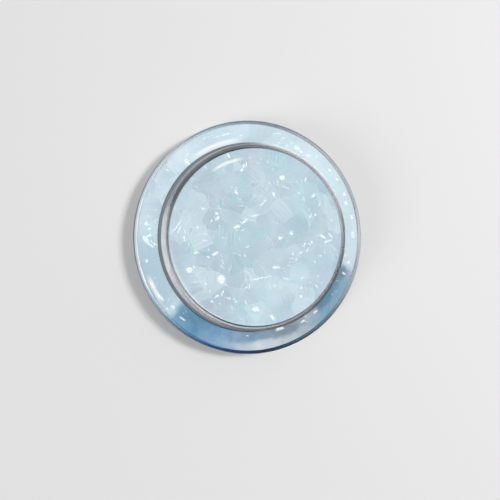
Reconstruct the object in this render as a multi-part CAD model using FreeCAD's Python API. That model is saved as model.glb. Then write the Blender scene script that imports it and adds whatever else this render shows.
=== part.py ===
"""Magnetic ring holder for a phone: a magnet base, a turntable with a cap, and a folding finger ring.

The origin is the middle of the face that sits on the phone.
+Z points away from the phone and +X to the hinge of the ring.
"""
import math
import os

import FreeCAD
import Part

# Driving dimensions in millimetres

# Base
base_diameter = 56.0
base_height = 4.2
base_edge_radius = 1.0
foot_edge_radius = 0.3
bore_edge_radius = 0.7
skirt_thickness = 0.8
cover_thickness = 1.5
pad_inset = 2.0
pad_thickness = 0.4
back_plate_thickness = 0.75
film_thickness = 0.2

# Magnet circle
magnet_count = 16
magnet_gap = 0.3
yoke_thickness = 0.35

# Turntable
annulus_width = 7.2
neck_inset = 1.4
neck_top = 7.4
neck_wall = 1.0
top_wall = 0.8
shelf_overhang = 1.0
shelf_thickness = 0.3
stem_diameter = 8.0
hub_wall = 1.6
rib_count = 6
rib_thickness = 1.0

# Bearing of the turntable in the base
web_thickness = 0.7
rim_ledge = 1.1
rim_step = 1.0
slide_washer_thickness = 0.25
slide_washer_width = 1.6
clip_thickness = 0.38
clip_width = 2.3
clip_mouth = 5.6
groove_depth = 0.7
spring_thickness = 0.18
spring_height = 0.38
spring_diameter = 15.0
stem_end = 0.2
stem_edge_radius = 0.15

# Cap
cap_overhang = 0.25
cap_height = 2.4
cap_crown = 0.25
cap_edge_radius = 1.1
cap_film_inset = 0.2
tape_thickness = 0.2
tape_inset = 0.3

# Finger ring and its hinge
ring_wall = 0.8
ring_height = 4.4
ring_outer_round = 0.4
ring_inner_round = 0.25
ring_end_chamfer = 0.12
ring_nail_gap = 0.6
hinge_width = 6.0
hinge_rise = 0.95
hinge_inset = 1.3
hinge_web_height = 1.7
hinge_relief_inset = 2.4
eye_radius = 0.8
eye_depth = 1.45
eye_floor = 0.4
pin_diameter = 0.8

# Clearances
running_gap = 0.02
bearing_gap = 0.05
pin_gap = 0.05
press_gap = 0.01
glue_gap = 0.1
magnet_seat_gap = 0.2
ring_gap = 0.35
ring_end_gap = 0.15
pin_end_gap = 0.1
well_gap = 0.5
shelf_gap = 0.25

# Heights above the phone
pad_top = pad_thickness
back_plate_top = pad_top + back_plate_thickness
cover_floor = base_height - cover_thickness
base_film_floor = cover_floor - film_thickness
yoke_floor = base_film_floor - yoke_thickness
shelf_floor = base_height + shelf_gap
shelf_top = shelf_floor + shelf_thickness
ring_foot = base_height + ring_nail_gap
ring_top = ring_foot + ring_height
hinge_height = ring_foot + hinge_rise
tape_top = neck_top + tape_thickness
cap_floor = tape_top + film_thickness
cap_top = cap_floor + cap_height
stem_foot = back_plate_top + stem_end
clip_floor = stem_foot + stem_end
clip_top = clip_floor + clip_thickness
web_floor = clip_top + spring_height + 2 * running_gap
web_top = web_floor + web_thickness
slide_washer_top = web_top + slide_washer_thickness
turntable_floor = slide_washer_top + running_gap

# Radii
base_radius = base_diameter / 2
skirt_bore = base_radius - skirt_thickness
pad_radius = base_radius - pad_inset
turntable_radius = base_radius - annulus_width
neck_radius = turntable_radius - neck_inset
shelf_radius = turntable_radius + shelf_overhang
stem_radius = stem_diameter / 2
stem_bore = stem_radius + bearing_gap
groove_radius = stem_radius - groove_depth
hub_radius = stem_radius + hub_wall
cap_radius = turntable_radius + cap_overhang
ring_inner = cap_radius + ring_gap
ring_outer = ring_inner + ring_wall
cover_bore = ring_outer + well_gap
rim_inner = cover_bore - rim_step
rim_outer = cover_bore + rim_ledge
magnet_inner = rim_outer + magnet_seat_gap
magnet_outer = skirt_bore - 2 * magnet_seat_gap
web_radius = cover_bore - magnet_seat_gap
hinge_radius = ring_outer - hinge_inset
pin_radius = pin_diameter / 2
half_hinge = hinge_width / 2
ring_end = half_hinge + ring_end_gap
pin_half_length = ring_end + eye_depth
hole_end = pin_half_length + pin_end_gap
eye_end = hole_end + eye_floor

# Anything longer than the whole part, for tools that cut right through
reach = 2 * base_diameter

Z_AXIS = FreeCAD.Vector(0, 0, 1)
Y_AXIS = FreeCAD.Vector(0, 1, 0)
ORIGIN = FreeCAD.Vector(0, 0, 0)


def profile_edges(corners):
    """Edges of a closed outline in the XZ plane; a corner is (r, z) or (r, z, rounding radius)."""
    points = [FreeCAD.Vector(corner[0], 0, corner[1]) for corner in corners]
    starts = []
    ends = []
    arcs = []
    for index, corner in enumerate(corners):
        here = points[index]
        back = (points[index - 1] - here).normalize()
        onward = (points[(index + 1) % len(points)] - here).normalize()
        rounding = corner[2] if len(corner) > 2 else 0.0
        half_angle = back.getAngle(onward) / 2
        tangent = rounding / math.tan(half_angle)
        starts.append(here + back * tangent)
        ends.append(here + onward * tangent)
        if rounding:
            bisector = (back + onward).normalize()
            centre = here + bisector * (rounding / math.sin(half_angle))
            middle = centre - bisector * rounding
            arcs.append(Part.Arc(starts[-1], middle, ends[-1]).toShape())
        else:
            arcs.append(None)
    edges = []
    for index in range(len(points)):
        if arcs[index]:
            edges.append(arcs[index])
        finish = starts[(index + 1) % len(points)]
        edges.append(Part.makeLine(ends[index], finish))
    return edges


def turned(corners):
    """Solid of revolution about Z from a closed outline."""
    face = Part.Face(Part.Wire(profile_edges(corners)))
    return face.revolve(ORIGIN, Z_AXIS, 360)


def washer(inner, outer, floor, top):
    """Flat ring between two radii and two heights."""
    return turned([(inner, floor), (outer, floor), (outer, top), (inner, top)])


def disc(radius, floor, top):
    """Plain round plate."""
    return Part.makeCylinder(radius, top - floor, FreeCAD.Vector(0, 0, floor))


def block(x_low, x_high, y_low, y_high, z_low, z_high):
    """Box between two corners."""
    corner = FreeCAD.Vector(x_low, y_low, z_low)
    return Part.makeBox(x_high - x_low, y_high - y_low, z_high - z_low, corner)


def rod_along_y(radius, y_low, y_high):
    """Round bar on the axis of the ring's hinge."""
    foot = FreeCAD.Vector(hinge_radius, y_low, hinge_height)
    return Part.makeCylinder(radius, y_high - y_low, foot, Y_AXIS)


def turned_copies(shape, count):
    """The shape repeated round Z at equal angles."""
    copies = []
    for index in range(count):
        copy = shape.copy()
        copy.rotate(ORIGIN, Z_AXIS, 360.0 * index / count)
        copies.append(copy)
    return copies


def hoop():
    """Whole band of the finger ring, before the hinge gap is cut out of it."""
    band = turned([
        (ring_inner, ring_foot, ring_inner_round),
        (ring_outer, ring_foot, ring_outer_round),
        (ring_outer, ring_top, ring_outer_round),
        (ring_inner, ring_top, ring_inner_round),
    ])
    return band.cut(end_grooves())


def end_grooves():
    """Two shallow grooves across the top of the band that break the edges either side of each hinge gap."""
    half_width = ring_end_gap / 2 + ring_end_chamfer
    grooves = []
    for middle in (half_hinge + ring_end_gap / 2, -half_hinge - ring_end_gap / 2):
        corners = [
            FreeCAD.Vector(0, middle - half_width, ring_top),
            FreeCAD.Vector(0, middle + half_width, ring_top),
            FreeCAD.Vector(0, middle, ring_top - half_width),
        ]
        triangle = Part.makePolygon(corners + corners[:1])
        grooves.append(Part.Face(triangle).extrude(FreeCAD.Vector(reach, 0, 0)))
    return grooves


def hinge_slot(half_width):
    """Space across the band on the hinge side."""
    return block(0, reach, -half_width, half_width, 0, reach)


def make_contact_pad():
    """Soft pad that lies on the phone."""
    return disc(pad_radius, 0, pad_top)


def make_back_plate():
    """Plate that closes the base from below, inside the skirt of the cover."""
    return disc(skirt_bore - glue_gap, pad_top, back_plate_top)


def make_base_cover():
    """Clear cover: a flat ring with a rounded rim and a skirt down to the back plate."""
    return turned([
        (cover_bore, cover_floor),
        (skirt_bore, cover_floor),
        (skirt_bore, pad_top),
        (base_radius, pad_top, foot_edge_radius),
        (base_radius, base_height, base_edge_radius),
        (cover_bore, base_height, bore_edge_radius),
    ])


def make_base_film():
    """Pearl film bonded under the cover."""
    return washer(cover_bore, skirt_bore - glue_gap, base_film_floor, cover_floor)


def make_base_frame():
    """Moulded carrier: rim under the film, web with the bearing hole, ribs below the web."""
    body = turned([
        (stem_bore, web_floor),
        (rim_inner, web_floor),
        (rim_inner, back_plate_top),
        (rim_outer, back_plate_top),
        (rim_outer, base_film_floor),
        (web_radius, base_film_floor),
        (web_radius, web_top),
        (stem_bore, web_top),
    ])
    rib_start = spring_diameter / 2 + rib_thickness
    rib_overlap = rib_thickness / 2
    rib = block(
        rib_start,
        rim_inner + rib_overlap,
        -rib_thickness / 2,
        rib_thickness / 2,
        back_plate_top,
        web_floor + web_thickness / 2,
    )
    return body.fuse(turned_copies(rib, rib_count)).removeSplitter()


def make_magnets():
    """Arc magnets side by side in one circle."""
    ring = washer(magnet_inner, magnet_outer, back_plate_top, yoke_floor)
    half_gap = magnet_gap / 2
    half_step = math.pi / magnet_count
    near = FreeCAD.Vector(half_gap / math.sin(half_step), 0, back_plate_top)
    wedge_length = reach
    right = near + FreeCAD.Vector(math.cos(half_step), -math.sin(half_step), 0) * wedge_length
    left = near + FreeCAD.Vector(math.cos(half_step), math.sin(half_step), 0) * wedge_length
    triangle = Part.makePolygon([near, right, left, near])
    wedge = Part.Face(triangle).extrude(FreeCAD.Vector(0, 0, yoke_floor - back_plate_top))
    first = ring.common(wedge).Solids[0]
    return turned_copies(first, magnet_count)


def make_magnet_yoke():
    """Steel ring that closes the magnets' field on the side away from the phone."""
    return washer(magnet_inner, magnet_outer, yoke_floor, base_film_floor)


def make_slide_washer():
    """Washer that the rim of the turntable runs on."""
    outer = turntable_radius - glue_gap
    return washer(outer - slide_washer_width, outer, web_top, slide_washer_top)


def make_swivel_plate():
    """Cast turntable: a cup with ribs, a stem with a groove for the clip, and the block of the hinge."""
    body = turned([
        (0, stem_foot),
        (stem_radius, stem_foot, stem_edge_radius),
        (stem_radius, clip_floor),
        (groove_radius, clip_floor),
        (groove_radius, clip_top),
        (stem_radius, clip_top),
        (stem_radius, turntable_floor),
        (hub_radius, turntable_floor),
        (hub_radius, neck_top - top_wall),
        (neck_radius - neck_wall, neck_top - top_wall),
        (neck_radius - neck_wall, turntable_floor),
        (turntable_radius, turntable_floor),
        (turntable_radius, shelf_floor),
        (neck_radius, shelf_floor),
        (neck_radius, neck_top),
        (0, neck_top),
    ])
    rib_overlap = rib_thickness / 2
    rib = block(
        hub_radius - rib_overlap,
        neck_radius - rib_overlap,
        -rib_thickness / 2,
        rib_thickness / 2,
        turntable_floor + top_wall,
        neck_top - top_wall / 2,
    )
    shelf = washer(neck_radius - neck_wall / 2, shelf_radius, shelf_floor, shelf_top)
    relief_start = shelf_radius - hinge_relief_inset
    shelf = shelf.cut(block(relief_start, reach, -reach, reach, 0, reach))
    knuckle = hoop().common(hinge_slot(half_hinge))
    web = block(
        neck_radius - neck_wall,
        ring_inner + ring_wall / 2,
        -half_hinge,
        half_hinge,
        shelf_floor,
        ring_foot + hinge_web_height,
    )
    body = body.fuse(turned_copies(rib, rib_count) + [shelf, knuckle, web])
    pin_hole = rod_along_y(pin_radius + press_gap, -reach, reach)
    return body.cut(pin_hole).removeSplitter()


def make_retaining_clip():
    """Snap ring with an open mouth, in the groove of the stem."""
    inner = groove_radius + press_gap
    ring = washer(inner, inner + clip_width, clip_floor + press_gap, clip_top - press_gap)
    mouth = block(0, reach, -clip_mouth / 2, clip_mouth / 2, 0, reach)
    return ring.cut(mouth).Solids[0]


def make_disc_spring():
    """Coned washer between the clip and the base frame."""
    inner = stem_bore + glue_gap
    outer = spring_diameter / 2
    low = clip_top + running_gap
    high = low + spring_height - spring_thickness
    return turned([
        (inner, low),
        (outer, high),
        (outer, high + spring_thickness),
        (inner, low + spring_thickness),
    ])


def make_hinge_pin():
    """Pin held in the hinge block; the ring's two eyes turn on its ends."""
    return rod_along_y(pin_radius, -pin_half_length, pin_half_length)


def make_cap_tape():
    """Bonding disc between the turntable and the film of the cap."""
    return disc(neck_radius - tape_inset, neck_top, tape_top)


def make_cap_film():
    """Pearl film under the lens of the cap."""
    return disc(cap_radius - cap_film_inset, tape_top, cap_floor)


def make_cap_lens():
    """Clear lens of the cap, slightly crowned, with a rounded edge."""
    blank = disc(cap_radius, cap_floor, cap_top)
    crown_radius = (cap_radius ** 2 + cap_crown ** 2) / (2 * cap_crown)
    crown = Part.makeSphere(crown_radius, FreeCAD.Vector(0, 0, cap_top - crown_radius))
    lens = blank.common(crown)
    rim_height = cap_top - cap_crown
    rim = [
        edge for edge in lens.Edges
        if edge.BoundBox.ZLength < press_gap and abs(edge.BoundBox.ZMax - rim_height) < press_gap
    ]
    return lens.makeFillet(cap_edge_radius, rim).Solids[0]


def make_finger_ring():
    """Split band with an eye at each end, bored for the hinge pin."""
    band = hoop().cut(hinge_slot(ring_end))
    inside_band = disc(ring_outer, ring_foot, ring_top)
    eyes = [
        rod_along_y(eye_radius, ring_end, eye_end).common(inside_band),
        rod_along_y(eye_radius, -eye_end, -ring_end).common(inside_band),
    ]
    band = band.fuse(eyes)
    pin_hole = rod_along_y(pin_radius + pin_gap, -hole_end, hole_end)
    return band.cut(pin_hole).removeSplitter()


def make_all():
    """Every piece by the name of its node."""
    pieces = {
        "contact_pad": make_contact_pad(),
        "back_plate": make_back_plate(),
        "base_frame": make_base_frame(),
        "magnet_yoke": make_magnet_yoke(),
        "base_film": make_base_film(),
        "base_cover": make_base_cover(),
        "slide_washer": make_slide_washer(),
        "swivel_plate": make_swivel_plate(),
        "retaining_clip": make_retaining_clip(),
        "disc_spring": make_disc_spring(),
        "hinge_pin": make_hinge_pin(),
        "cap_tape": make_cap_tape(),
        "cap_film": make_cap_film(),
        "cap_lens": make_cap_lens(),
        "finger_ring": make_finger_ring(),
    }
    for index, magnet in enumerate(make_magnets(), start=1):
        pieces["magnet_%02d" % index] = magnet
    return pieces


os.makedirs("parts", exist_ok=True)
for name, shape in make_all().items():
    shape.exportStep("parts/%s.step" % name)
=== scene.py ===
import math

import bpy
from mathutils import Matrix, Vector


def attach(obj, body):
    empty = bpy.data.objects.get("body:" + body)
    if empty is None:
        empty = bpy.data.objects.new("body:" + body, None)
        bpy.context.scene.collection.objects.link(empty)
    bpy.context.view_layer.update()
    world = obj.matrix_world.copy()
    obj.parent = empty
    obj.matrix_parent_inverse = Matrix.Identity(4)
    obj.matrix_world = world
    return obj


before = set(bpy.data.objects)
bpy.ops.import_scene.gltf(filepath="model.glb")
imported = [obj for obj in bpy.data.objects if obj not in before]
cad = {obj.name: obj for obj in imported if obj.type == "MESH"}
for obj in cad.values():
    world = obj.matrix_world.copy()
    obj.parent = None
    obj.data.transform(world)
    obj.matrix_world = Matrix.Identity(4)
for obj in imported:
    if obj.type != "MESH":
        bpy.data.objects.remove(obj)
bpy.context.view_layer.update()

scene = bpy.context.scene
MM = 0.001
PER_M = 1000.0

# Sizes repeated from the part's source, in millimetres
SKIRT_BORE = 27.2
PAD_TOP = 0.4
BASE_FILM_INNER = 22.7
BASE_FILM_OUTER = 27.1
BASE_FILM_TOP = 2.7
CAP_FILM_RADIUS = 20.85
CAP_FILM_TOP = 7.8

# Radii and heights, in millimetres, between which the clear rim takes its painted tint and its painted dark
# lines
EDGE_TINT_START = 26.9
EDGE_TINT_FULL = 27.3
RIM_SHADE_START = 27.66
RIM_SHADE_FULL = 27.8
FOOT_SHADE_START = 2.3
FOOT_SHADE_FULL = 2.0
BEND_SHADE_START = 2.9
BEND_SHADE_FULL = 3.3

# Pale streaks in the films, and painted highlights: start and end in degrees from the hinge, radius and half
# width in millimetres, colour and strength. The washes lie under the deep blue run, the streaks over it.
BASE_WASHES = [(-14.0, 104.0, 25.0, 8.0, "daf1f7", 0.6)]
BASE_STREAKS_AND_HIGHLIGHTS = [
    (94.0, 146.0, 25.5, 6.0, "bcd4e0", 0.5),
    # Painted highlights: a streak along the inner edge at the upper left, and a short one at the outer edge
    # at the lower left
    (106.0, 146.0, 23.6, 0.6, "f6fafc", 0.85),
    (-146.0, -128.0, 26.4, 0.7, "f6fafc", 1.0),
]
CAP_WASHES = [(-78.0, -8.0, 14.0, 4.0, "d3e8f1", 0.6)]
# Painted highlight at the cap's edge at the upper left
CAP_HIGHLIGHTS = [(112.0, 142.0, 18.8, 0.55, "f6fafc", 1.0)]
# Shares of a streak's length and width that have its full strength
STREAK_FULL_ALONG = 0.4
STREAK_FULL_ACROSS = 0.2

# Where the photo shows the hinge: degrees counter-clockwise from its right-hand side
HINGE_TURN = -15.0

CLEAR_PIECES = ("base_cover", "cap_lens")
TURNED_PIECES = ("finger_ring", "swivel_plate")

# Some nodes hold sockets for every kind of value: these are the ones for colours and for plain numbers
MIX_A = 6
MIX_B = 7
MIX_OUT = 2
RANDOM_LEAST = 2
RANDOM_MOST = 3
RANDOM_OUT = 1

# A flat direction keeps x and y; a noise colour swings about its middle
FLAT = (1.0, 1.0, 0.0)
NOISE_MIDDLE = (0.5, 0.5, 0.5)


def linear(hex_colour):
    """sRGB hex to the linear colour that sockets take."""
    parts = [int(hex_colour[i:i + 2], 16) / 255 for i in (0, 2, 4)]
    return tuple(c / 12.92 if c <= 0.04045 else ((c + 0.055) / 1.055) ** 2.4 for c in parts) + (1.0,)


def add(tree, kind, inputs=None, **settings):
    """Adds one node: settings are its properties; inputs are values, or sockets to link from."""
    made = tree.nodes.new(kind)
    for key, value in settings.items():
        setattr(made, key, value)
    for key, value in (inputs or {}).items():
        if isinstance(value, bpy.types.NodeSocket):
            tree.links.new(value, made.inputs[key])
        else:
            made.inputs[key].default_value = value
    return made


def ramp_colours(ramp, stops):
    """Gives a colour ramp its stops: pairs of place and sRGB hex."""
    elements = ramp.color_ramp.elements
    while len(elements) > len(stops):
        elements.remove(elements[-1])
    while len(elements) < len(stops):
        elements.new(1.0)
    for element, (place, hex_colour) in zip(elements, stops):
        element.position = place
        element.color = linear(hex_colour)


def new_material(name):
    """An empty node material; gives back the material and its tree."""
    made = bpy.data.materials.new(name)
    made.use_nodes = True
    made.node_tree.nodes.clear()
    return made, made.node_tree


def wear(node_name, made):
    """Puts a material on a CAD node."""
    cad[node_name].data.materials.clear()
    cad[node_name].data.materials.append(made)


def in_millimetres(tree):
    """A point's place in the part's frame, in millimetres."""
    place = add(tree, "ShaderNodeTexCoord")
    scale = add(tree, "ShaderNodeMapping", {"Vector": place.outputs["Object"], "Scale": (PER_M,) * 3})
    return scale.outputs["Vector"]


def distance_out(tree, point):
    """A point's distance from the turning axis."""
    flat = add(tree, "ShaderNodeVectorMath", {0: point, 1: FLAT}, operation="MULTIPLY")
    length = add(tree, "ShaderNodeVectorMath", {0: flat.outputs["Vector"]}, operation="LENGTH")
    return length.outputs["Value"]


def azimuth(tree, point):
    """A point's degrees round the turning axis from the hinge, -180 to 180."""
    axes = add(tree, "ShaderNodeSeparateXYZ", {"Vector": point})
    turn = add(tree, "ShaderNodeMath", {0: axes.outputs["Y"], 1: axes.outputs["X"]}, operation="ARCTAN2")
    return add(tree, "ShaderNodeMath", {0: turn.outputs["Value"]}, operation="DEGREES").outputs["Value"]


def way_round(tree, point):
    """How far round the axis a point lies: 0 to 1 for a full turn that begins opposite the hinge."""
    share = add(tree, "ShaderNodeMapRange", {
        "Value": azimuth(tree, point), "From Min": -180.0, "From Max": 180.0})
    return share.outputs["Result"]


def clear_acrylic():
    """Cast acrylic, polished: clear on the flat; at the rim a painted reflection tint and painted dark
    lines.
    """
    made, tree = new_material("clear_cast_acrylic_polished")
    point = in_millimetres(tree)
    radius = distance_out(tree, point)
    round_rim = way_round(tree, point)
    # Polishing haze, patches about 3 mm across
    haze = add(tree, "ShaderNodeTexNoise", {"Vector": point, "Scale": 0.35, "Detail": 4.0})
    rough = add(tree, "ShaderNodeMapRange", {"Value": haze.outputs["Fac"], "To Min": 0.0, "To Max": 0.03})
    # Painted reflection: the rim is tinted blue at the side of the deep blue run, and grey and white
    # elsewhere
    edge = add(tree, "ShaderNodeMapRange", {
        "Value": radius, "From Min": EDGE_TINT_START, "From Max": EDGE_TINT_FULL},
        interpolation_type="SMOOTHSTEP")
    tint = add(tree, "ShaderNodeValToRGB", {"Fac": round_rim})
    ramp_colours(tint, [
        (0.0, "f4f8fa"), (0.10, "eef3f6"), (0.15, "cfdae2"), (0.20, "9dbad1"), (0.26, "76a0cd"),
        (0.30, "6a8fb8"), (0.34, "5d7c9c"), (0.38, "5f7a92"), (0.43, "7f95a6"), (0.48, "c3ccd3"),
        (0.54, "e2e7ea"), (0.60, "c9d0d5"), (0.75, "bcc5cc"), (0.85, "cdd5db"), (0.93, "e6ecef"),
        (1.0, "f4f8fa")])
    tinted = add(tree, "ShaderNodeMix", {
        "Factor": edge.outputs["Result"], MIX_A: linear("fbfdff"), MIX_B: tint.outputs["Color"]},
        data_type="RGBA")
    # Painted shade: a thin dark line at the rim's foot
    height = add(tree, "ShaderNodeSeparateXYZ", {"Vector": point}).outputs["Z"]
    outermost = add(tree, "ShaderNodeMapRange", {
        "Value": radius, "From Min": RIM_SHADE_START, "From Max": RIM_SHADE_FULL})
    foot = add(tree, "ShaderNodeMapRange", {
        "Value": height, "From Min": FOOT_SHADE_START, "From Max": FOOT_SHADE_FULL})
    painted_foot_shade = add(tree, "ShaderNodeMath", {
        0: foot.outputs["Result"], 1: outermost.outputs["Result"]}, operation="MULTIPLY")
    foot_shade_tone = add(tree, "ShaderNodeValToRGB", {"Fac": round_rim})
    ramp_colours(foot_shade_tone, [
        (0.0, "0e1318"), (0.05, "12181e"), (0.085, "2c343b"), (0.14, "2c343b"), (0.20, "12263a"),
        (0.35, "0c1c2e"), (0.45, "1c262e"), (0.60, "20262c"), (0.90, "12181e"), (1.0, "0e1318")])
    foot_shaded = add(tree, "ShaderNodeMix", {
        "Factor": painted_foot_shade.outputs["Value"], MIX_A: tinted.outputs[MIX_OUT],
        MIX_B: foot_shade_tone.outputs["Color"]}, data_type="RGBA", blend_type="MULTIPLY")
    # Painted shade: a grey line at the bend at its top, which fades out at one side
    bend = add(tree, "ShaderNodeMapRange", {
        "Value": height, "From Min": BEND_SHADE_START, "From Max": BEND_SHADE_FULL})
    fade = add(tree, "ShaderNodeValToRGB", {"Fac": round_rim})
    ramp_colours(fade, [(0.12, "000000"), (0.17, "ffffff"), (0.86, "ffffff"), (0.93, "000000")])
    bend_shade_here = add(tree, "ShaderNodeMath", {
        0: bend.outputs["Result"], 1: fade.outputs["Color"]}, operation="MULTIPLY")
    painted_bend_shade = add(tree, "ShaderNodeMath", {
        0: bend_shade_here.outputs["Value"], 1: outermost.outputs["Result"]}, operation="MULTIPLY")
    colour = add(tree, "ShaderNodeMix", {
        "Factor": painted_bend_shade.outputs["Value"], MIX_A: foot_shaded.outputs[MIX_OUT], MIX_B: linear("97a1a9")},
        data_type="RGBA", blend_type="MULTIPLY")
    shader = add(tree, "ShaderNodeBsdfPrincipled", {
        "Base Color": colour.outputs[MIX_OUT], "Roughness": rough.outputs["Result"], "IOR": 1.49,
        "Transmission Weight": 1.0})
    add(tree, "ShaderNodeOutputMaterial", {"Surface": shader.outputs["BSDF"]})
    return made


def tone_streak_and_highlight(tree, point, colour, start, end, middle, half_width, streak_colour, strength):
    """Streak of another colour over a film, from one azimuth to another along a radius, with soft edges;
    near-white streaks are painted highlights.
    """
    reach = (end - start) / 2
    centre = (start + end) / 2
    off = add(tree, "ShaderNodeMath", {0: azimuth(tree, point), 1: centre}, operation="SUBTRACT")
    along = add(tree, "ShaderNodeMath", {0: off.outputs["Value"]}, operation="ABSOLUTE")
    fade_along = add(tree, "ShaderNodeMapRange", {
        "Value": along.outputs["Value"], "From Min": reach, "From Max": reach * STREAK_FULL_ALONG},
        interpolation_type="SMOOTHSTEP")
    aside = add(tree, "ShaderNodeMath", {0: distance_out(tree, point), 1: middle}, operation="SUBTRACT")
    across = add(tree, "ShaderNodeMath", {0: aside.outputs["Value"]}, operation="ABSOLUTE")
    fade_across = add(tree, "ShaderNodeMapRange", {
        "Value": across.outputs["Value"], "From Min": half_width,
        "From Max": half_width * STREAK_FULL_ACROSS, "To Max": strength}, interpolation_type="SMOOTHSTEP")
    share = add(tree, "ShaderNodeMath", {
        0: fade_along.outputs["Result"], 1: fade_across.outputs["Result"]}, operation="MULTIPLY")
    streaked = add(tree, "ShaderNodeMix", {
        "Factor": share.outputs["Value"], MIX_A: colour, MIX_B: linear(streak_colour)}, data_type="RGBA")
    return streaked.outputs[MIX_OUT]


def blue_run(tree, warped, colour):
    """Deep blue run over one side of the base film, marbled, with a pale arc outside it, and a little
    painted shade at the lower left.
    """
    # Angles are degrees from the hinge, radii millimetres
    degrees = azimuth(tree, warped)
    run = add(tree, "ShaderNodeMapRange", {"Value": degrees, "From Min": -140.0, "From Max": 20.0})
    inner = add(tree, "ShaderNodeValToRGB", {"Fac": run.outputs["Result"]})
    ramp_colours(inner, [
        (0.10, "74a6bf"), (0.19, "5f8fab"), (0.27, "729ec4"), (0.35, "8badc8"), (0.42, "84a3ba"),
        (0.52, "8698a6"), (0.59, "8e9dab"), (0.645, "a9b6c3"), (0.69, "6b8ea2"), (0.73, "5585a1"),
        (0.80, "678ca4"), (0.88, "829bac")])
    outer = add(tree, "ShaderNodeValToRGB", {"Fac": run.outputs["Result"]})
    ramp_colours(outer, [
        (0.10, "8ab4c9"), (0.20, "6799be"), (0.30, "8eb2d0"), (0.38, "bccddb"), (0.44, "d3dde4"),
        (0.52, "c3cdd4"), (0.60, "aebdc7"), (0.70, "6fa1bb"), (0.80, "86adc2"), (0.88, "b3cddb")])
    outside = add(tree, "ShaderNodeMapRange", {
        "Value": distance_out(tree, warped), "From Min": 24.3, "From Max": 25.8},
        interpolation_type="SMOOTHSTEP")
    blues = add(tree, "ShaderNodeMix", {
        "Factor": outside.outputs["Result"], MIX_A: inner.outputs["Color"], MIX_B: outer.outputs["Color"]},
        data_type="RGBA")
    # Marbling, veins about 3 mm apart
    marble = add(tree, "ShaderNodeTexNoise", {"Vector": warped, "Scale": 0.3, "Detail": 4.0})
    veins = add(tree, "ShaderNodeMapRange", {
        "Value": marble.outputs["Fac"], "From Min": 0.3, "From Max": 0.7, "To Min": 0.3, "To Max": 0.7})
    marbled = add(tree, "ShaderNodeMix", {
        "Factor": 0.6, MIX_A: blues.outputs[MIX_OUT], MIX_B: veins.outputs["Result"]},
        data_type="RGBA", blend_type="SOFT_LIGHT")
    # Painted shade: a faint, darker blue ahead of the run at the lower left, where a shadow of the ring
    # would fall
    shade_start = add(tree, "ShaderNodeMapRange", {
        "Value": degrees, "From Min": -174.0, "From Max": -155.0}, interpolation_type="SMOOTHSTEP")
    shade_end = add(tree, "ShaderNodeMapRange", {
        "Value": degrees, "From Min": -122.0, "From Max": -132.0, "To Max": 0.6},
        interpolation_type="SMOOTHSTEP")
    painted_shade_share = add(tree, "ShaderNodeMath", {
        0: shade_start.outputs["Result"], 1: shade_end.outputs["Result"]}, operation="MULTIPLY")
    painted_shaded = add(tree, "ShaderNodeMix", {
        "Factor": painted_shade_share.outputs["Value"], MIX_A: colour, MIX_B: linear("a9c6d4")}, data_type="RGBA")
    # The run has soft ends
    start = add(tree, "ShaderNodeMapRange", {
        "Value": degrees, "From Min": -125.0, "From Max": -119.0}, interpolation_type="SMOOTHSTEP")
    end = add(tree, "ShaderNodeMapRange", {
        "Value": degrees, "From Min": 1.0, "From Max": -4.0}, interpolation_type="SMOOTHSTEP")
    zone = add(tree, "ShaderNodeMath", {
        0: start.outputs["Result"], 1: end.outputs["Result"]}, operation="MULTIPLY")
    with_blue_run = add(tree, "ShaderNodeMix", {
        "Factor": zone.outputs["Value"], MIX_A: painted_shaded.outputs[MIX_OUT], MIX_B: marbled.outputs[MIX_OUT]},
        data_type="RGBA")
    return with_blue_run.outputs[MIX_OUT]


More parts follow.
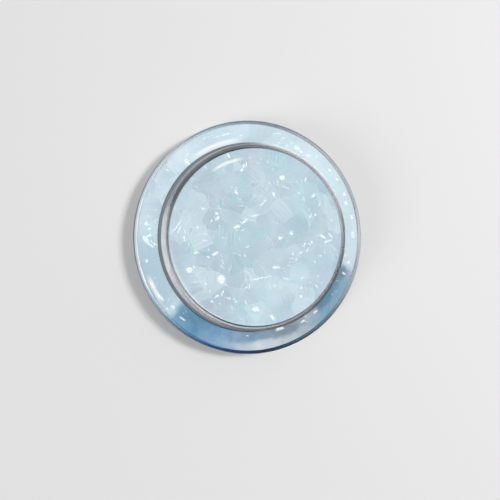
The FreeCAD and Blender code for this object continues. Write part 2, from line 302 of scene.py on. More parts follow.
def pearl_film(name, tones, tints, washes, with_blue_run, streaks_and_highlights):
    """Pearl film with crushed shell: pale blue clouds, aqua and lavender tints, growth lines in shards."""
    made, tree = new_material(name)
    point = in_millimetres(tree)
    # Drift about 5 mm across that bends the clouds by up to 2 mm
    drift = add(tree, "ShaderNodeTexNoise", {"Vector": point, "Scale": 0.2, "Detail": 3.0})
    shift = add(tree, "ShaderNodeVectorMath", {
        0: drift.outputs["Color"], 1: NOISE_MIDDLE}, operation="SUBTRACT")
    push = add(tree, "ShaderNodeVectorMath", {0: shift.outputs["Vector"], "Scale": 4.0}, operation="SCALE")
    warped = add(tree, "ShaderNodeVectorMath", {0: point, 1: push.outputs["Vector"]}).outputs["Vector"]
    # Cloudy tone, patches about 8 mm across
    cloud = add(tree, "ShaderNodeTexNoise", {
        "Vector": warped, "Scale": 0.12, "Detail": 5.0, "Roughness": 0.55})
    tone = add(tree, "ShaderNodeValToRGB", {"Fac": cloud.outputs["Fac"]})
    ramp_colours(tone, list(zip((0.30, 0.45, 0.58, 0.72), tones)))
    # Tint from aqua to lavender, patches about 7 mm across
    hue = add(tree, "ShaderNodeTexNoise", {
        "Vector": warped, "Scale": 0.15, "Detail": 2.0, "W": 3.0}, noise_dimensions="4D")
    tint = add(tree, "ShaderNodeValToRGB", {"Fac": hue.outputs["Fac"]})
    ramp_colours(tint, list(zip((0.34, 0.5, 0.66), tints)))
    tinted = add(tree, "ShaderNodeMix", {
        "Factor": 0.5, MIX_A: tone.outputs["Color"], MIX_B: tint.outputs["Color"]}, data_type="RGBA")
    # Shards about 4 mm across, some greyer and some paler, which crowd in patches about 6 mm across
    bent = add(tree, "ShaderNodeVectorMath", {0: shift.outputs["Vector"], "Scale": 1.2}, operation="SCALE")
    laid = add(tree, "ShaderNodeVectorMath", {0: point, 1: bent.outputs["Vector"]}).outputs["Vector"]
    shard = add(tree, "ShaderNodeTexVoronoi", {"Vector": laid, "Scale": 0.24})
    rim = add(tree, "ShaderNodeTexVoronoi", {"Vector": laid, "Scale": 0.24}, feature="DISTANCE_TO_EDGE")
    parts = add(tree, "ShaderNodeSeparateColor", {"Color": shard.outputs["Color"]})
    spread = add(tree, "ShaderNodeTexNoise", {"Vector": point, "Scale": 0.16, "Detail": 1.0})
    crowd = add(tree, "ShaderNodeMapRange", {
        "Value": spread.outputs["Fac"], "From Min": 0.38, "From Max": 0.62})
    grey = add(tree, "ShaderNodeMapRange", {
        "Value": parts.outputs["Green"], "From Min": 0.42, "From Max": 0.12, "To Max": 0.36})
    grey_here = add(tree, "ShaderNodeMath", {
        0: grey.outputs["Result"], 1: crowd.outputs["Result"]}, operation="MULTIPLY")
    greyed = add(tree, "ShaderNodeMix", {
        "Factor": grey_here.outputs["Value"], MIX_A: tinted.outputs[MIX_OUT], MIX_B: linear("aebfcd")},
        data_type="RGBA")
    pale = add(tree, "ShaderNodeMapRange", {
        "Value": parts.outputs["Green"], "From Min": 0.66, "From Max": 0.95, "To Max": 0.4})
    paled = add(tree, "ShaderNodeMix", {
        "Factor": pale.outputs["Result"], MIX_A: greyed.outputs[MIX_OUT], MIX_B: linear("d9ecf2")},
        data_type="RGBA")
    # Growth lines about 0.4 mm apart, in each shard's own direction
    lie = add(tree, "ShaderNodeMath", {0: parts.outputs["Red"], 1: math.tau}, operation="MULTIPLY")
    turned = add(tree, "ShaderNodeVectorRotate", {
        "Vector": point, "Axis": (0, 0, 1), "Angle": lie.outputs["Value"]})
    drawn = add(tree, "ShaderNodeMapping", {
        "Vector": turned.outputs["Vector"], "Scale": (0.22, 2.4, 1.0)})
    lines = add(tree, "ShaderNodeTexNoise", {
        "Vector": drawn.outputs["Vector"], "Scale": 1.0, "Detail": 2.0})
    line_tone = add(tree, "ShaderNodeMapRange", {
        "Value": lines.outputs["Fac"], "From Min": 0.3, "From Max": 0.7, "To Min": 0.37, "To Max": 0.63})
    line_share = add(tree, "ShaderNodeMapRange", {
        "Value": crowd.outputs["Result"], "To Min": 0.2, "To Max": 0.9})
    grained = add(tree, "ShaderNodeMix", {
        "Factor": line_share.outputs["Result"], MIX_A: paled.outputs[MIX_OUT],
        MIX_B: line_tone.outputs["Result"]}, data_type="RGBA", blend_type="SOFT_LIGHT")
    # Painted glints: bright edges on the shards
    glint = add(tree, "ShaderNodeMapRange", {
        "Value": rim.outputs["Distance"], "From Min": 0.03, "From Max": 0.0, "To Max": 0.32})
    glint_here = add(tree, "ShaderNodeMath", {
        0: glint.outputs["Result"], 1: crowd.outputs["Result"]}, operation="MULTIPLY")
    edged = add(tree, "ShaderNodeMix", {
        "Factor": glint_here.outputs["Value"], MIX_A: grained.outputs[MIX_OUT], MIX_B: linear("edf7fa")},
        data_type="RGBA")
    colour = edged.outputs[MIX_OUT]
    for wash in washes:
        colour = tone_streak_and_highlight(tree, point, colour, *wash)
    if with_blue_run:
        colour = blue_run(tree, warped, colour)
    for streak in streaks_and_highlights:
        colour = tone_streak_and_highlight(tree, point, colour, *streak)
    # Each shard leans a little its own way, so they take the light one by one
    lean = add(tree, "ShaderNodeVectorMath", {
        0: shard.outputs["Color"], 1: NOISE_MIDDLE}, operation="SUBTRACT")
    small = add(tree, "ShaderNodeVectorMath", {0: lean.outputs["Vector"], "Scale": 0.06}, operation="SCALE")
    up = add(tree, "ShaderNodeNewGeometry")
    leaning = add(tree, "ShaderNodeVectorMath", {0: up.outputs["Normal"], 1: small.outputs["Vector"]})
    normal = add(tree, "ShaderNodeVectorMath", {0: leaning.outputs["Vector"]}, operation="NORMALIZE")
    shader = add(tree, "ShaderNodeBsdfPrincipled", {
        "Base Color": colour, "Roughness": 0.35, "IOR": 1.5, "Specular IOR Level": 0.3,
        "Normal": normal.outputs["Vector"]})
    add(tree, "ShaderNodeOutputMaterial", {"Surface": shader.outputs["BSDF"]})
    return made


def film_margin():
    """Edge of the base film turned down in the skirt: navy where the film is blue, silver grey elsewhere as
    painted reflection, and pale at the left as painted light where the wall lies in shade.
    """
    made, tree = new_material("pearl_film_margin")
    point = in_millimetres(tree)
    tone = add(tree, "ShaderNodeValToRGB", {"Fac": way_round(tree, point)})
    ramp_colours(tone, [
        (0.0, "e2eef4"), (0.10, "d4e4ec"), (0.15, "a9c3d2"), (0.19, "4584ad"), (0.25, "175396"),
        (0.30, "173a66"), (0.37, "1f3a52"), (0.42, "3f5f77"), (0.47, "7f92a1"), (0.53, "b3bcc2"),
        (0.60, "98a2aa"), (0.74, "8f9ca4"), (0.82, "a9bac5"), (0.9, "cfdfe8"), (1.0, "e2eef4")])
    # Mottling about 2 mm across
    cloud = add(tree, "ShaderNodeTexNoise", {"Vector": point, "Scale": 0.5, "Detail": 3.0})
    veins = add(tree, "ShaderNodeMapRange", {
        "Value": cloud.outputs["Fac"], "From Min": 0.3, "From Max": 0.7, "To Min": 0.35, "To Max": 0.65})
    mottled = add(tree, "ShaderNodeMix", {
        "Factor": 0.5, MIX_A: tone.outputs["Color"], MIX_B: veins.outputs["Result"]},
        data_type="RGBA", blend_type="SOFT_LIGHT")
    shader = add(tree, "ShaderNodeBsdfPrincipled", {
        "Base Color": mottled.outputs[MIX_OUT], "Roughness": 0.3, "IOR": 1.6})
    add(tree, "ShaderNodeOutputMaterial", {"Surface": shader.outputs["BSDF"]})
    return made


def shell_chip():
    """Broken mother of pearl: white flakes that flash, some with a breath of pink or aqua."""
    made, tree = new_material("mother_of_pearl_broken")
    own = add(tree, "ShaderNodeAttribute", attribute_name="tone")
    tone = add(tree, "ShaderNodeValToRGB", {"Fac": own.outputs["Fac"]})
    ramp_colours(tone, [(0.0, "e4f6f9"), (0.3, "f6fcfe"), (0.8, "fdfeff"), (1.0, "f6f0f7")])
    # Grain about 0.4 mm across
    grain = add(tree, "ShaderNodeTexNoise", {"Vector": in_millimetres(tree), "Scale": 2.6, "Detail": 3.0})
    rough = add(tree, "ShaderNodeMapRange", {
        "Value": grain.outputs["Fac"], "To Min": 0.15, "To Max": 0.4})
    body = add(tree, "ShaderNodeMapRange", {
        "Value": grain.outputs["Fac"], "From Min": 0.34, "From Max": 0.52, "To Min": 0.25, "To Max": 1.0})
    # Each flake thins out to its edge
    core = add(tree, "ShaderNodeAttribute", attribute_name="core")
    thick = add(tree, "ShaderNodeMapRange", {
        "Value": core.outputs["Fac"], "From Max": 0.8}, interpolation_type="SMOOTHSTEP")
    cover = add(tree, "ShaderNodeMath", {
        0: body.outputs["Result"], 1: thick.outputs["Result"]}, operation="MULTIPLY")
    shader = add(tree, "ShaderNodeBsdfPrincipled", {
        "Base Color": tone.outputs["Color"], "Roughness": rough.outputs["Result"], "IOR": 1.6,
        "Alpha": cover.outputs["Value"]})
    add(tree, "ShaderNodeOutputMaterial", {"Surface": shader.outputs["BSDF"]})
    return made


def turned_metal(name, hex_light, hex_dark):
    """Metal turned on a lathe and buffed: grooves run round the band and drag each light out across them."""
    made, tree = new_material(name)
    point = in_millimetres(tree)
    # Buffing clouds about 2 mm across; the grooves are too fine to draw, and the anisotropy stands for them
    cloud = add(tree, "ShaderNodeTexNoise", {"Vector": point, "Scale": 0.6, "Detail": 3.0})
    tone = add(tree, "ShaderNodeValToRGB", {"Fac": cloud.outputs["Fac"]})
    ramp_colours(tone, [(0.3, hex_dark), (0.7, hex_light)])
    rough = add(tree, "ShaderNodeMapRange", {"Value": cloud.outputs["Fac"], "To Min": 0.4, "To Max": 0.48})
    axes = add(tree, "ShaderNodeSeparateXYZ", {"Vector": point})
    outward = add(tree, "ShaderNodeCombineXYZ", {"X": axes.outputs["X"], "Y": axes.outputs["Y"], "Z": 0.0})
    along = add(tree, "ShaderNodeVectorMath", {
        0: (0.0, 0.0, 1.0), 1: outward.outputs["Vector"]}, operation="CROSS_PRODUCT")
    surface = add(tree, "ShaderNodeNewGeometry")
    across = add(tree, "ShaderNodeVectorMath", {
        0: along.outputs["Vector"], 1: surface.outputs["Normal"]}, operation="CROSS_PRODUCT")
    shader = add(tree, "ShaderNodeBsdfPrincipled", {
        "Base Color": tone.outputs["Color"], "Metallic": 1.0, "Roughness": rough.outputs["Result"],
        "Anisotropic": 1.0, "Tangent": across.outputs["Vector"]})
    add(tree, "ShaderNodeOutputMaterial", {"Surface": shader.outputs["BSDF"]})
    return made


def plain_steel(name, hex_light, hex_dark, rough_low, rough_high):
    """Steel or nickel plating that isn't polished: satin, with cloudy spots a millimetre across."""
    made, tree = new_material(name)
    spots = add(tree, "ShaderNodeTexNoise", {"Vector": in_millimetres(tree), "Scale": 0.9, "Detail": 5.0})
    tone = add(tree, "ShaderNodeValToRGB", {"Fac": spots.outputs["Fac"]})
    ramp_colours(tone, [(0.3, hex_dark), (0.7, hex_light)])
    rough = add(tree, "ShaderNodeMapRange", {
        "Value": spots.outputs["Fac"], "To Min": rough_low, "To Max": rough_high})
    shader = add(tree, "ShaderNodeBsdfPrincipled", {
        "Base Color": tone.outputs["Color"], "Metallic": 1.0, "Roughness": rough.outputs["Result"]})
    add(tree, "ShaderNodeOutputMaterial", {"Surface": shader.outputs["BSDF"]})
    return made


def moulded_plastic(name, hex_light, hex_dark, rough_low, rough_high, grain_mm):
    """Moulded plastic, rubber or tape: a fine even grain takes the shine off; the tone is a bit uneven."""
    made, tree = new_material(name)
    point = in_millimetres(tree)
    # Uneven tone, patches about 8 mm across
    cloud = add(tree, "ShaderNodeTexNoise", {"Vector": point, "Scale": 0.12, "Detail": 3.0})
    tone = add(tree, "ShaderNodeValToRGB", {"Fac": cloud.outputs["Fac"]})
    ramp_colours(tone, [(0.3, hex_dark), (0.7, hex_light)])
    grain = add(tree, "ShaderNodeTexNoise", {"Vector": point, "Scale": 1 / grain_mm, "Detail": 2.0})
    rough = add(tree, "ShaderNodeMapRange", {
        "Value": grain.outputs["Fac"], "To Min": rough_low, "To Max": rough_high})
    bump = add(tree, "ShaderNodeBump", {
        "Height": grain.outputs["Fac"], "Strength": 0.25, "Distance": 0.05 * MM})
    shader = add(tree, "ShaderNodeBsdfPrincipled", {
        "Base Color": tone.outputs["Color"], "Roughness": rough.outputs["Result"], "IOR": 1.5,
        "Normal": bump.outputs["Normal"]})
    add(tree, "ShaderNodeOutputMaterial", {"Surface": shader.outputs["BSDF"]})
    return made


# Materials on the CAD nodes
acrylic = clear_acrylic()
for name in CLEAR_PIECES:
    wear(name, acrylic)
wear("base_film", pearl_film(
    "pearl_film_deep_blue_at_one_side", ("c3d9e4", "cfe3eb", "d5e8ef", "deeef2"),
    ("bfe2e8", "cde1ea", "cfd8e6"), BASE_WASHES, True, BASE_STREAKS_AND_HIGHLIGHTS))
wear("cap_film", pearl_film(
    "pearl_film_pale", ("a9bfcb", "b9d0da", "c6dce5", "d3e8f0"),
    ("b2d8e0", "bed5df", "c1cddb"), CAP_WASHES, False, CAP_HIGHLIGHTS))
wear("finger_ring", turned_metal("stainless_steel_turned_and_buffed", "d9d9dd", "cacccf"))
wear("swivel_plate", turned_metal("zinc_casting_turned_and_plated", "d5d5d9", "c6c8cb"))
wear("contact_pad", moulded_plastic("silicone_pad", "c2ccd2", "b6c2c9", 0.5, 0.7, 0.4))
wear("back_plate", moulded_plastic("white_moulded_plastic", "eef2f5", "e2e8ec", 0.4, 0.55, 0.25))
wear("base_frame", moulded_plastic("slate_moulded_plastic", "6f7a82", "626c74", 0.4, 0.55, 0.25))
wear("slide_washer", moulded_plastic("acetal_washer", "f2f1ec", "e9e8e2", 0.3, 0.4, 0.3))
wear("cap_tape", moulded_plastic("bonding_tape", "eff1f2", "e4e8ea", 0.5, 0.6, 0.5))
steel = plain_steel("spring_steel_plain", "b9b9b8", "9c9c9c", 0.25, 0.4)
for name in ("magnet_yoke", "retaining_clip", "disc_spring", "hinge_pin"):
    wear(name, steel)
nickel = plain_steel("magnet_nickel_plating", "8f8f92", "77787c", 0.2, 0.35)
for name in cad:
    if name.startswith("magnet_") and name != "magnet_yoke":
        wear(name, nickel)

# The clear pieces let the lamps through to the films under them
for name in CLEAR_PIECES:
    cad[name].visible_shadow = False
    cad[name].visible_diffuse = False

# The films are bonded to the clear pieces with no air between, so they reach a hair into them
FILM_BOND = 0.01
for name in ("base_film", "cap_film"):
    bonded = cad[name].modifiers.new("bonded", "DISPLACE")
    bonded.mid_level = 0.0
    bonded.strength = FILM_BOND * MM

# Margin of the base film, a thin band bonded to the skirt's bore
MARGIN_STEPS = 180
MARGIN_GAP = 0.02
MARGIN_BOND = 0.05
margin_inner = BASE_FILM_OUTER + MARGIN_GAP
margin_outer = SKIRT_BORE + MARGIN_BOND
margin_section = [
    (margin_inner, PAD_TOP + MARGIN_GAP), (margin_outer, PAD_TOP + MARGIN_GAP),
    (margin_outer, BASE_FILM_TOP - MARGIN_GAP), (margin_inner, BASE_FILM_TOP - MARGIN_GAP)]
corners = len(margin_section)
margin_points = []
margin_faces = []
for step in range(MARGIN_STEPS):
    turn = math.tau * step / MARGIN_STEPS
    for radius, height in margin_section:
        margin_points.append((radius * math.cos(turn) * MM, radius * math.sin(turn) * MM, height * MM))
    here = corners * step
    there = corners * ((step + 1) % MARGIN_STEPS)
    for corner in range(corners):
        after = (corner + 1) % corners
        margin_faces.append((here + corner, there + corner, there + after, here + after))
margin_mesh = bpy.data.meshes.new("film_margin")
margin_mesh.from_pydata(margin_points, [], margin_faces)
margin_mesh.materials.append(film_margin())
margin = bpy.data.objects.new("film_margin", margin_mesh)
scene.collection.objects.link(margin)
margin.visible_diffuse = False
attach(margin, "base")

# Larger shell chips, set in the clear pieces just above the films where the photo shows them:
# x, y, length and width in millimetres, lie in degrees
CAP_CHIPS = [
    (-18.9, -2.3, 5.3, 0.4, 70), (-18.5, -3.4, 3.4, 0.3, 75), (-16.6, -4.9, 2.2, 0.45, -60),
    (-7.3, 8.8, 1.0, 1.05, 35), (-14.0, 3.1, 0.9, 1.55, 95), (-7.4, 14.4, 1.1, 1.05, 60),
    (-6.7, 16.0, 2.0, 0.4, -60), (-10.6, 2.8, 1.2, 1.05, 45), (-10.2, 1.8, 2.0, 0.85, 45),
    (-5.1, 1.1, 2.5, 1.1, 30), (-3.6, 2.9, 2.3, 0.55, 50), (-1.7, 4.8, 4.3, 0.3, 30),
    (2.6, 15.4, 1.9, 1.35, 35), (-7.2, 15.5, 0.9, 0.9, 25), (8.2, 3.2, 1.4, 1.35, -5),
    (5.9, 1.4, 1.7, 1.05, 25), (15.9, 4.5, 2.5, 0.75, -15), (17.8, 5.1, 2.8, 0.35, -35),
    (17.5, 3.7, 3.1, 0.35, 30), (12.1, 1.4, 1.9, 0.35, 85), (13.1, 0.4, 2.2, 0.35, 75),
    (11.8, -0.7, 1.5, 0.35, 50), (13.2, 1.9, 1.5, 0.35, -25), (6.7, -5.6, 3.0, 0.85, 20),
    (3.8, -9.1, 7.4, 0.25, 25), (17.5, -7.4, 2.0, 0.45, -35), (4.5, -16.5, 1.5, 2.35, 90),
    (8.8, -17.2, 2.2, 1.2, -35), (14.5, -10.7, 0.8, 0.9, 15), (11.2, 13.3, 1.5, 0.9, 75),
    (13.2, 11.8, 2.2, 0.35, 80), (-13.6, -11.7, 2.0, 1.85, 45), (-5.6, -11.8, 2.8, 2.65, 75),
    (-13.0, -7.3, 1.9, 0.85, 30), (-8.6, -6.4, 2.5, 1.05, 40), (-5.5, -15.9, 2.2, 0.45, 55),
    (-4.5, -14.9, 2.5, 0.4, 80), (-2.7, -15.7, 1.9, 0.4, -5), (-6.4, -17.4, 1.5, 0.55, 25),
    (-0.8, -15.9, 1.2, 0.4, 65), (4.0, 13.3, 2.8, 0.3, -5), (-0.3, 8.2, 3.7, 0.25, 55),
    (-11.8, -4.0, 1.9, 0.35, 5), (-1.5, -2.8, 1.5, 0.4, 35), (11.7, 8.5, 2.2, 0.35, 85),
]
BASE_CHIPS = [
    (5.7, 23.9, 1.9, 1.2, -5), (4.1, 24.8, 1.2, 0.75, 55), (6.9, 23.3, 1.5, 0.4, -35),
    (0.4, 26.0, 2.2, 0.6, 5), (9.0, 22.8, 1.9, 0.45, -25), (20.3, 16.4, 1.5, 0.9, -55),
    (21.2, 14.3, 1.5, 0.75, -45), (-25.3, -3.4, 1.4, 1.2, 95), (-24.3, -7.2, 3.4, 1.35, -40),
    (-24.0, -6.2, 2.9, 0.9, 40), (-22.9, -8.1, 2.3, 0.8, -25), (-20.1, -17.0, 1.9, 0.55, -35),
    (-17.4, -19.3, 3.7, 0.6, -35), (-11.0, -23.0, 2.5, 0.6, -20), (25.0, 7.3, 0.9, 2.35, 15),
    (25.6, 0.6, 1.1, 0.75, 35), (25.2, -2.4, 0.9, 1.7, 75), (13.0, -19.6, 3.3, 0.6, 30),
    (-13.0, 21.7, 6.8, 0.4, 30), (-19.6, 13.3, 1.5, 1.5, 60), (-22.9, -12.0, 1.2, 0.75, 95),
    (-14.1, -20.9, 1.5, 1.05, -25), (15.1, 21.0, 1.2, 0.75, -30), (23.5, 11.5, 1.2, 0.55, -65),
    (18.0, -16.2, 1.9, 0.75, 45), (20.5, -13.1, 1.9, 0.8, 55), (5.5, -23.0, 1.2, 0.45, 15),
]
# Chips: sides; thickness, lift over the film and edges of their field in millimetres; seeds of the scatter
CHIP_SIDES = 6
CHIP_THICKNESS = 0.03
CHIP_LIFT = 0.12
CHIP_FIELD_STEPS = 48
CHIP_FIELD_EDGE = 0.6
CAP_FIELD_INNER = 1.0
CAP_SEED = 11
BASE_SEED = 17

# A scattered chip's width as a share of its length, and the noise level above which strokes lie in a drift
SLIMMEST = 0.25
WIDEST = 0.8
DRIFT_LEVEL = 0.52

# How chips lie, in radians: a listed chip's lean, with steps that vary it from one chip to the next,
# a scattered chip's lean, a stroke's sway within its drift, and the swirl that turns the drifts
LISTED_LEAN = 0.07
LEAN_STEP_X = 5.1
LEAN_STEP_Y = 3.7
SCATTERED_LEAN = 0.12
STROKE_SWAY = 0.4
DRIFT_SWIRL = 12.0


def chip_tree(chip_material):
    """Geometry nodes: a flat chip on every listed place, small ones scattered, fine strokes in drifts."""
    tree = bpy.data.node_groups.new("shell_chips", "GeometryNodeTree")
    face = tree.interface
    face.new_socket("Places", in_out="INPUT", socket_type="NodeSocketGeometry")
    for label in ("Scatter per Square Metre", "Smallest", "Largest", "Thickness", "Raggedness",
                  "Strokes per Square Metre", "Shortest Stroke", "Longest Stroke", "Stroke Width"):
        face.new_socket(label, in_out="INPUT", socket_type="NodeSocketFloat")
    face.new_socket("Seed", in_out="INPUT", socket_type="NodeSocketInt")
    face.new_socket("Chips", in_out="OUTPUT", socket_type="NodeSocketGeometry")
    given = add(tree, "NodeGroupInput").outputs
    # One chip, 1 across, that knows how near each of its points is to its middle
    blank = add(tree, "GeometryNodeMeshCylinder", {
        "Vertices": CHIP_SIDES, "Radius": 0.5, "Depth": 1.0}, fill_type="TRIANGLE_FAN")
    spot = add(tree, "GeometryNodeInputPosition")
    core = add(tree, "ShaderNodeMapRange", {
        "Value": distance_out(tree, spot.outputs["Position"]), "From Min": 0.5, "From Max": 0.0})
    chip = add(tree, "GeometryNodeStoreNamedAttribute", {
        "Geometry": blank.outputs["Mesh"], "Name": "core", "Value": core.outputs["Result"]},
        data_type="FLOAT", domain="POINT")
    # Listed chips
    listed = add(tree, "GeometryNodeInputNamedAttribute", {"Name": "listed"}, data_type="BOOLEAN")
    size = add(tree, "GeometryNodeInputNamedAttribute", {"Name": "chip_size"}, data_type="FLOAT_VECTOR")
    lie = add(tree, "GeometryNodeInputNamedAttribute", {"Name": "chip_lie"}, data_type="FLOAT_VECTOR")
    placed = add(tree, "GeometryNodeInstanceOnPoints", {
        "Points": given["Places"], "Selection": listed.outputs["Attribute"],
        "Instance": chip.outputs["Geometry"], "Rotation": lie.outputs["Attribute"],
        "Scale": size.outputs["Attribute"]})
    # Scattered chips, the longer ones wider for their length
    spots = add(tree, "GeometryNodeDistributePointsOnFaces", {
        "Mesh": given["Places"], "Density": given["Scatter per Square Metre"], "Seed": given["Seed"]})
    any_lie = add(tree, "FunctionNodeRandomValue", {
        "Min": (-SCATTERED_LEAN, -SCATTERED_LEAN, 0.0), "Max": (SCATTERED_LEAN, SCATTERED_LEAN, math.tau),
        "Seed": given["Seed"]}, data_type="FLOAT_VECTOR")
    long = add(tree, "FunctionNodeRandomValue", {
        RANDOM_LEAST: given["Smallest"], RANDOM_MOST: given["Largest"], "Seed": given["Seed"]},
        data_type="FLOAT")
    slim = add(tree, "FunctionNodeRandomValue", {
        RANDOM_LEAST: SLIMMEST, RANDOM_MOST: WIDEST, "Seed": given["Seed"]}, data_type="FLOAT")
    wide = add(tree, "ShaderNodeMath", {
        0: long.outputs[RANDOM_OUT], 1: slim.outputs[RANDOM_OUT]}, operation="MULTIPLY")
    any_size = add(tree, "ShaderNodeCombineXYZ", {
        "X": long.outputs[RANDOM_OUT], "Y": wide.outputs["Value"], "Z": given["Thickness"]})
    scattered = add(tree, "GeometryNodeInstanceOnPoints", {
        "Points": spots.outputs["Points"], "Instance": chip.outputs["Geometry"],
        "Rotation": any_lie.outputs["Value"], "Scale": any_size.outputs["Vector"]})
    both = add(tree, "GeometryNodeJoinGeometry", {"Geometry": placed.outputs["Instances"]})
    tree.links.new(scattered.outputs["Instances"], both.inputs["Geometry"])
    # Strokes lie in drifts about 5 mm across, nearly parallel in each; their bearing swirls over 9 mm or so
    marks = add(tree, "GeometryNodeDistributePointsOnFaces", {
        "Mesh": given["Places"], "Density": given["Strokes per Square Metre"], "Seed": given["Seed"]})
    where = add(tree, "GeometryNodeInputPosition")
    drift = add(tree, "ShaderNodeTexNoise", {
        "Vector": where.outputs["Position"], "Scale": 0.2 * PER_M, "Detail": 1.0})
    drifted = add(tree, "FunctionNodeCompare", {
        0: drift.outputs["Fac"], 1: DRIFT_LEVEL}, data_type="FLOAT", operation="GREATER_THAN")
    sway = add(tree, "FunctionNodeRandomValue", {
        RANDOM_LEAST: -STROKE_SWAY, RANDOM_MOST: STROKE_SWAY, "Seed": given["Seed"]}, data_type="FLOAT")
    swirl = add(tree, "ShaderNodeTexNoise", {
        "Vector": where.outputs["Position"], "Scale": 0.11 * PER_M, "Detail": 0.0})
    bearing = add(tree, "ShaderNodeMath", {
        0: swirl.outputs["Fac"], 1: DRIFT_SWIRL, 2: sway.outputs[RANDOM_OUT]}, operation="MULTIPLY_ADD")
    stroke_lie = add(tree, "ShaderNodeCombineXYZ", {"X": 0.0, "Y": 0.0, "Z": bearing.outputs["Value"]})
    stroke_long = add(tree, "FunctionNodeRandomValue", {
        RANDOM_LEAST: given["Shortest Stroke"], RANDOM_MOST: given["Longest Stroke"],
        "Seed": given["Seed"]}, data_type="FLOAT")
    stroke_size = add(tree, "ShaderNodeCombineXYZ", {
        "X": stroke_long.outputs[RANDOM_OUT], "Y": given["Stroke Width"], "Z": given["Thickness"]})
    strokes = add(tree, "GeometryNodeInstanceOnPoints", {
        "Points": marks.outputs["Points"], "Selection": drifted.outputs["Result"],
        "Instance": chip.outputs["Geometry"], "Rotation": stroke_lie.outputs["Vector"],
        "Scale": stroke_size.outputs["Vector"]})
    tree.links.new(strokes.outputs["Instances"], both.inputs["Geometry"])
    # Each chip has a tone of its own
    any_tone = add(tree, "FunctionNodeRandomValue", {
        RANDOM_LEAST: 0.0, RANDOM_MOST: 1.0, "Seed": given["Seed"]}, data_type="FLOAT")
    toned = add(tree, "GeometryNodeStoreNamedAttribute", {
        "Geometry": both.outputs["Geometry"], "Name": "tone", "Value": any_tone.outputs[RANDOM_OUT]},
        data_type="FLOAT", domain="INSTANCE")
    real = add(tree, "GeometryNodeRealizeInstances", {"Geometry": toned.outputs["Geometry"]})
    # Ragged outlines, with breaks about 0.8 mm apart
    breaks = add(tree, "ShaderNodeTexNoise", {"Scale": 1.25 * PER_M, "Detail": 1.0})
    around = add(tree, "ShaderNodeVectorMath", {
        0: breaks.outputs["Color"], 1: NOISE_MIDDLE}, operation="SUBTRACT")
    level = add(tree, "ShaderNodeVectorMath", {0: around.outputs["Vector"], 1: FLAT}, operation="MULTIPLY")
    pushed = add(tree, "ShaderNodeVectorMath", {
        0: level.outputs["Vector"], "Scale": given["Raggedness"]}, operation="SCALE")
    ragged = add(tree, "GeometryNodeSetPosition", {
        "Geometry": real.outputs["Geometry"], "Offset": pushed.outputs["Vector"]})
    dressed = add(tree, "GeometryNodeSetMaterial", {
        "Geometry": ragged.outputs["Geometry"], "Material": chip_material})
    add(tree, "NodeGroupOutput", {"Chips": dressed.outputs["Geometry"]})
    return tree


def set_chips(name, body, tree, chips, inner, outer, top, settings):
    """Chips over one film, as a plain mesh that moves with a body."""
    height = (top + CHIP_LIFT) * MM
    steps = CHIP_FIELD_STEPS
    points = []
    for radius in (inner, outer):
        for step in range(steps):
            turn = math.tau * step / steps
            points.append((radius * MM * math.cos(turn), radius * MM * math.sin(turn), height))
    faces = [(i, steps + i, steps + (i + 1) % steps, (i + 1) % steps) for i in range(steps)]
    first = len(points)
    points += [(x * MM, y * MM, height) for x, y, length, width, lie in chips]
    places = bpy.data.meshes.new(name + "_places")
    places.from_pydata(points, [], faces)
    for label, kind in (("listed", "BOOLEAN"), ("chip_size", "FLOAT_VECTOR"), ("chip_lie", "FLOAT_VECTOR")):
        places.attributes.new(label, kind, "POINT")
    listed = places.attributes["listed"]
    size = places.attributes["chip_size"]
    lie_at = places.attributes["chip_lie"]
    for index, (x, y, length, width, lie) in enumerate(chips):
        # A long chip lies nearly flat; a short one leans by up to 4 degrees, each its own way
        lean = LISTED_LEAN / max(length, 1.0)
        listed.data[first + index].value = True
        size.data[first + index].vector = (length * MM, width * MM, CHIP_THICKNESS * MM)
        lie_at.data[first + index].vector = (
            lean * math.sin(LEAN_STEP_X * index), lean * math.cos(LEAN_STEP_Y * index), math.radians(lie))
    maker = bpy.data.objects.new(name + "_maker", places)
    scene.collection.objects.link(maker)
    modifier = maker.modifiers.new("chips", "NODES")
    modifier.node_group = tree
    for item in tree.interface.items_tree:
        if item.in_out == "INPUT" and item.name in settings:
            modifier[item.identifier] = settings[item.name]
    bpy.context.view_layer.update()
    seen = maker.evaluated_get(bpy.context.evaluated_depsgraph_get())
    mesh = bpy.data.meshes.new_from_object(seen)
    maker.modifiers.remove(modifier)
    bpy.data.objects.remove(maker)
    mesh.name = name
    piece = bpy.data.objects.new(name, mesh)
    scene.collection.objects.link(piece)
    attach(piece, body)
    return piece


chip_nodes = chip_tree(shell_chip())
chip_settings = {
    "Scatter per Square Metre": 45000.0, "Smallest": 0.2 * MM, "Largest": 0.85 * MM,
    "Thickness": CHIP_THICKNESS * MM, "Raggedness": 0.8 * MM, "Strokes per Square Metre": 260000.0,
    "Shortest Stroke": 0.5 * MM, "Longest Stroke": 2.2 * MM, "Stroke Width": 0.16 * MM}
cap_chips = set_chips(
    "cap_shell_chips", "turntable", chip_nodes, CAP_CHIPS, CAP_FIELD_INNER,
    CAP_FILM_RADIUS - CHIP_FIELD_EDGE, CAP_FILM_TOP, dict(chip_settings, Seed=CAP_SEED))
base_chips = set_chips(
    "base_shell_chips", "base", chip_nodes, BASE_CHIPS, BASE_FILM_INNER + CHIP_FIELD_EDGE,
    BASE_FILM_OUTER - CHIP_FIELD_EDGE, BASE_FILM_TOP, dict(chip_settings, Seed=BASE_SEED))

# Camera: the photo looks at the disc from near its axis, a little from the left
VIEW_TILT = 15.0
PIXELS = 500
PIXELS_PER_MM = 4.16
CENTRE_PIXEL = (249.0, 237.3)
AIM_HEIGHT = 2.3
DISTANCE = 0.4
SENSOR = 36.0


def direction(image_angle, elevation):
    """Unit vector towards an image angle, counter-clockwise from the right of the photo, and a height."""
    turn = math.radians(image_angle - HINGE_TURN)
    up = math.radians(elevation)
    return Vector((math.cos(up) * math.cos(turn), math.cos(up) * math.sin(turn), math.sin(up)))


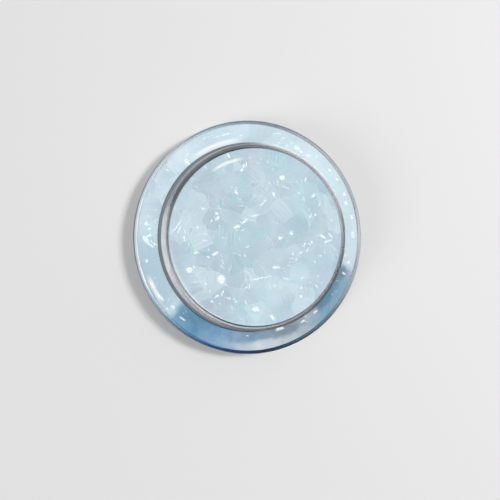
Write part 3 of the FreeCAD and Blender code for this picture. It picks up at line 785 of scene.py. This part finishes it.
back = direction(180, 90 - VIEW_TILT)
right = (Vector((0, 0, 1)) - back * back.z).normalized()
upward = back.cross(right)
aim = Vector((0, 0, AIM_HEIGHT * MM))
aim -= right * (CENTRE_PIXEL[0] - PIXELS / 2) / PIXELS_PER_MM * MM
aim += upward * (CENTRE_PIXEL[1] - PIXELS / 2) / PIXELS_PER_MM * MM
camera_data = bpy.data.cameras.new("camera")
camera_data.sensor_width = SENSOR
camera_data.lens = SENSOR * DISTANCE / (PIXELS / PIXELS_PER_MM * MM)
camera_data.clip_start = 0.01
camera_data.clip_end = 10.0
camera = bpy.data.objects.new("camera", camera_data)
camera_axes = Matrix((right, upward, back)).transposed()
camera.matrix_world = Matrix.Translation(aim + back * DISTANCE) @ camera_axes.to_4x4()
scene.collection.objects.link(camera)
scene.camera = camera

# Floor, pale and matt, its half width in metres
FLOOR = 6.0
floor_material, floor_tree = new_material("pale_floor")
floor_shader = add(floor_tree, "ShaderNodeBsdfPrincipled", {
    "Base Color": linear("ececec"), "Roughness": 0.9, "Specular IOR Level": 0.1})
add(floor_tree, "ShaderNodeOutputMaterial", {"Surface": floor_shader.outputs["BSDF"]})
floor_mesh = bpy.data.meshes.new("floor")
floor_corners = [(-FLOOR, -FLOOR, 0), (FLOOR, -FLOOR, 0), (FLOOR, FLOOR, 0), (-FLOOR, FLOOR, 0)]
floor_mesh.from_pydata(floor_corners, [], [(0, 1, 2, 3)])
floor_mesh.materials.append(floor_material)
floor = bpy.data.objects.new("floor", floor_mesh)
scene.collection.objects.link(floor)

LAMP_DISTANCE = 0.8


def soft_box(name, image_angle, elevation, size, power, lights, shaded_by):
    """Square lamp that faces the object, lights one group of objects and is shaded by another."""
    data = bpy.data.lights.new(name, "AREA")
    data.shape = "SQUARE"
    data.size = size
    data.energy = power
    lamp = bpy.data.objects.new(name, data)
    towards = direction(image_angle, elevation)
    lamp.location = towards * LAMP_DISTANCE
    lamp.rotation_mode = "QUATERNION"
    lamp.rotation_quaternion = towards.to_track_quat("Z", "Y")
    # Light that the clear pieces would gather into bright rings is left out
    lamp.visible_transmission = False
    lamp.light_linking.receiver_collection = lights
    lamp.light_linking.blocker_collection = shaded_by
    scene.collection.objects.link(lamp)


def group(name, objects):
    """Collection of objects that a lamp works on."""
    made = bpy.data.collections.new(name)
    for member in objects:
        made.objects.link(member)
    return made


opaque = [piece for name, piece in cad.items() if name not in CLEAR_PIECES + TURNED_PIECES]
opaque += [margin, cap_chips, base_chips]
opaque_pieces = group("opaque", opaque)
opaque_and_floor = group("opaque_and_floor", opaque + [floor])
metal = group("metal", [cad[name] for name in TURNED_PIECES])
skirt_film = group("margin", [margin])
floor_only = group("floor_only", [floor])
solid_base = group("base_and_film", [cad["base_film"], cad["base_frame"], cad["back_plate"], margin])
# A piece shut in under the cap: a lamp that only it can shade casts no shadow to be seen
inside = group("inside", [cad["cap_tape"]])

# The key comes in two parts: a low one for the floor, which the base shades, and a high one for the object.
# The clear pieces show the room and no lamp.
soft_box("key_on_floor", 20, 36, 0.2, 4.6, floor_only, solid_base)
soft_box("glow_on_floor", 0, 90, 0.4, 1.02, floor_only, inside)
soft_box("key_on_object", 28, 57, 0.26, 4.8, opaque_pieces, solid_base)
soft_box("fill", 205, 28, 0.3, 2.0, opaque_and_floor, None)

# The metal has five soft boxes that pick out its turned finish, and the film inside the skirt has one
soft_box("key_on_metal", 42, 26, 0.7, 4.0, metal, inside)
soft_box("band_top", 250, 55, 0.3, 0.75, metal, inside)
soft_box("band_left", 182, 22, 0.7, 3.2, metal, inside)
soft_box("band_upper_left", 118, 25, 0.5, 0.1, metal, inside)
soft_box("band_lower_left", 216, 30, 0.35, 1.0, metal, inside)
soft_box("skirt_left", 180, 20, 0.5, 2.0, skirt_film, inside)

# Room: grey overhead, one white wall, and dark walls at the other sides
WHITE_WALL_TURN = 64.0
ROOM_LIGHT = 0.62
world = bpy.data.worlds.new("studio")
world.use_nodes = True
room = world.node_tree
room.nodes.clear()
look = add(room, "ShaderNodeTexCoord")
axes = add(room, "ShaderNodeSeparateXYZ", {"Vector": look.outputs["Generated"]})
turn = add(room, "ShaderNodeMath", {0: axes.outputs["Y"], 1: axes.outputs["X"]}, operation="ARCTAN2")
from_white = add(room, "ShaderNodeMath", {
    0: turn.outputs["Value"], 1: math.radians(WHITE_WALL_TURN - HINGE_TURN)}, operation="SUBTRACT")
swing = add(room, "ShaderNodeMath", {0: from_white.outputs["Value"]}, operation="COSINE")
wall = add(room, "ShaderNodeMapRange", {
    "Value": swing.outputs["Value"], "From Min": 0.1, "From Max": 0.9}, interpolation_type="SMOOTHSTEP")
wall_shade = add(room, "ShaderNodeValToRGB", {"Fac": wall.outputs["Result"]})
ramp_colours(wall_shade, [(0.0, "4a4e54"), (1.0, "f4f1f1")])
overhead = add(room, "ShaderNodeMapRange", {
    "Value": axes.outputs["Z"], "From Min": 0.7, "From Max": 0.97}, interpolation_type="SMOOTHSTEP")
shade = add(room, "ShaderNodeMix", {
    "Factor": overhead.outputs["Result"], MIX_A: wall_shade.outputs["Color"], MIX_B: linear("b6b6b6")},
    data_type="RGBA")
sky = add(room, "ShaderNodeBackground", {"Color": shade.outputs[MIX_OUT], "Strength": ROOM_LIGHT})
add(room, "ShaderNodeOutputWorld", {"Surface": sky.outputs["Background"]})
scene.world = world

scene.view_settings.view_transform = "Standard"
